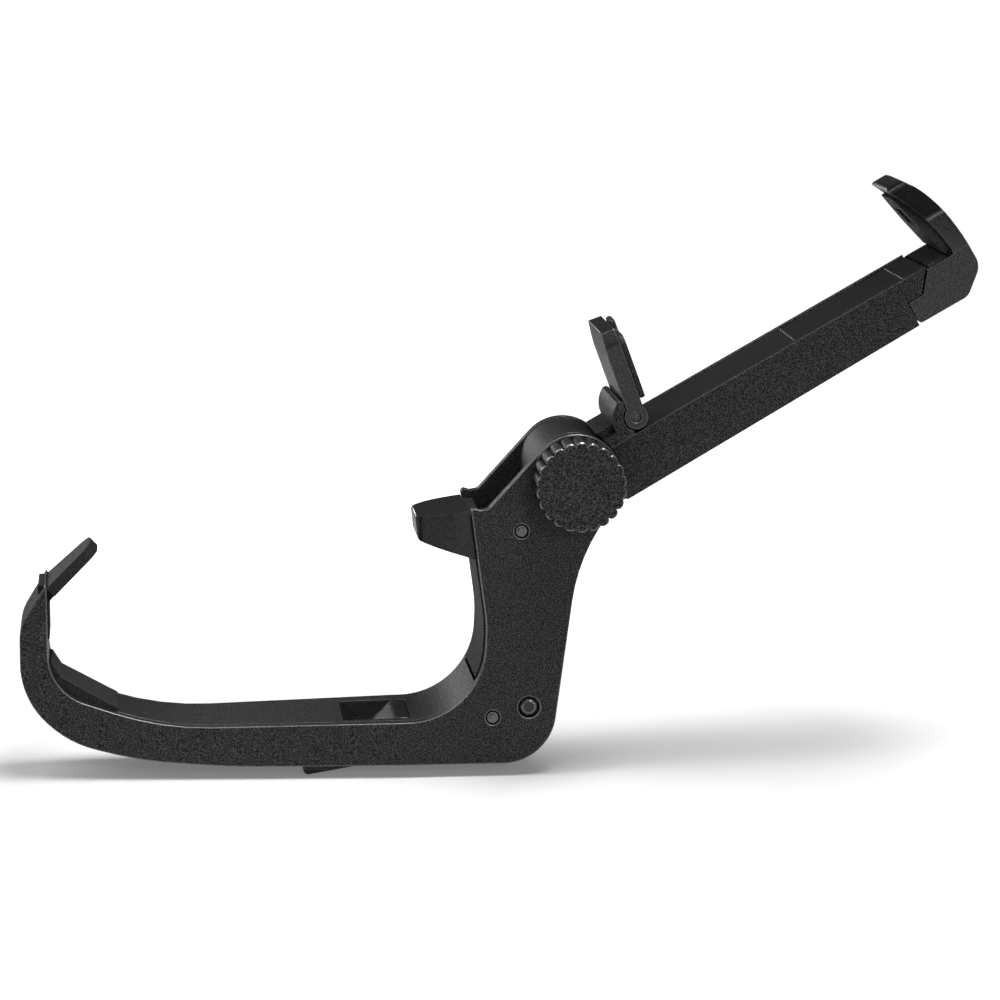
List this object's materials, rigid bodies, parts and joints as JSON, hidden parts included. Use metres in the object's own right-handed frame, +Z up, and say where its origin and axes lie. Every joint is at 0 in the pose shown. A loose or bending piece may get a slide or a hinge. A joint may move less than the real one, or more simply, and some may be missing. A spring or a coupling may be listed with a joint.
{
  "type": "controller phone clip",
  "caption": "Black plastic clip that grips a game controller in a hooked frame and holds a phone between two sprung jaws on a tilting arm.",
  "frame": {"origin": "on the frame's flat underside below the column, half way across its width", "axes": "+X runs from the hook to the column and on towards the arm's end, +Y points away from the knob, +Z is up"},
  "size_m": [0.1962, 0.0402, 0.1214],
  "materials": {
    "grained_black": "fine spark-eroded grain, low sheen",
    "satin_black": "smooth satin moulding",
    "gloss_black": "smooth and glossy",
    "dark_rubber": "soft matt rubber",
    "steel": "plain steel",
    "dark_steel": "blackened steel",
    "brass": "turned brass"
  },
  "bodies": {
    "frame": {"main_shell": "grained_black", "front_cover": "grained_black", "cover_screws": "dark_steel", "hook_tip": "satin_black", "corner_pad": "dark_rubber", "clamp_pin": "dark_steel", "clamp_spring": "steel", "release_pin": "steel", "release_spring": "steel", "pivot_bolt": "steel", "knob_washer": "steel", "friction_washers": "dark_rubber"},
    "clamp": {"clamp_lever": "satin_black", "clamp_nose": "gloss_black", "nose_screw": "steel"},
    "release": {"release_tab": "satin_black"},
    "arm": {"pivot_bush": "brass", "arm_channel": "grained_black", "arm_cover": "satin_black", "arm_inlay": "gloss_black", "arm_end_cap": "satin_black", "arm_screws": "dark_steel", "jaw_bracket": "grained_black", "jaw_hinge_pin": "dark_steel", "jaw_springs": "steel"},
    "knob": {"clamp_knob": "grained_black", "knob_insert": "brass"},
    "lower_jaw": {"lower_jaw": "satin_black", "lower_jaw_pad": "dark_rubber"},
    "upper_jaw": {"upper_jaw": "satin_black", "jaw_finger": "gloss_black", "finger_pad": "dark_rubber", "ribbed_pad": "dark_rubber", "slide_rail": "satin_black", "rail_screws": "steel"}
  },
  "joints": [
    {"name": "clamp_squeeze", "type": "hinge", "parent": "frame", "child": "clamp", "pos_m": [0.01367, 0, 0.01175], "axis": [0, 1, 0], "range_deg": [0, 5], "stiffness_Nm_per_rad": 0.6, "springref_deg": -20.05},
    {"name": "release_press", "type": "hinge", "parent": "frame", "child": "release", "pos_m": [-0.012, 0, 0.0046], "axis": [0, 1, 0], "range_deg": [0, 8.5], "stiffness_Nm_per_rad": 0.012, "springref_deg": -2.86},
    {"name": "arm_tilt", "type": "hinge", "parent": "frame", "child": "arm", "pos_m": [0.0233, 0, 0.0589], "axis": [0, -1, 0], "range_deg": [-20, 75]},
    {"name": "knob_turn", "type": "hinge", "parent": "frame", "child": "knob", "pos_m": [0.0233, -0.019, 0.0589], "axis": [0, -1, 0], "continuous": true},
    {"name": "jaw_fold", "type": "hinge", "parent": "arm", "child": "lower_jaw", "pos_m": [0.03578, 0, 0.07136], "axis": [0, 1, 0], "range_deg": [0, 68]},
    {"name": "jaw_slide", "type": "slide", "parent": "arm", "child": "upper_jaw", "axis": [0.8704, 0, 0.4924], "range_m": [0, 0.03], "stiffness_N_per_m": 60, "springref_m": -0.05}
  ]
}
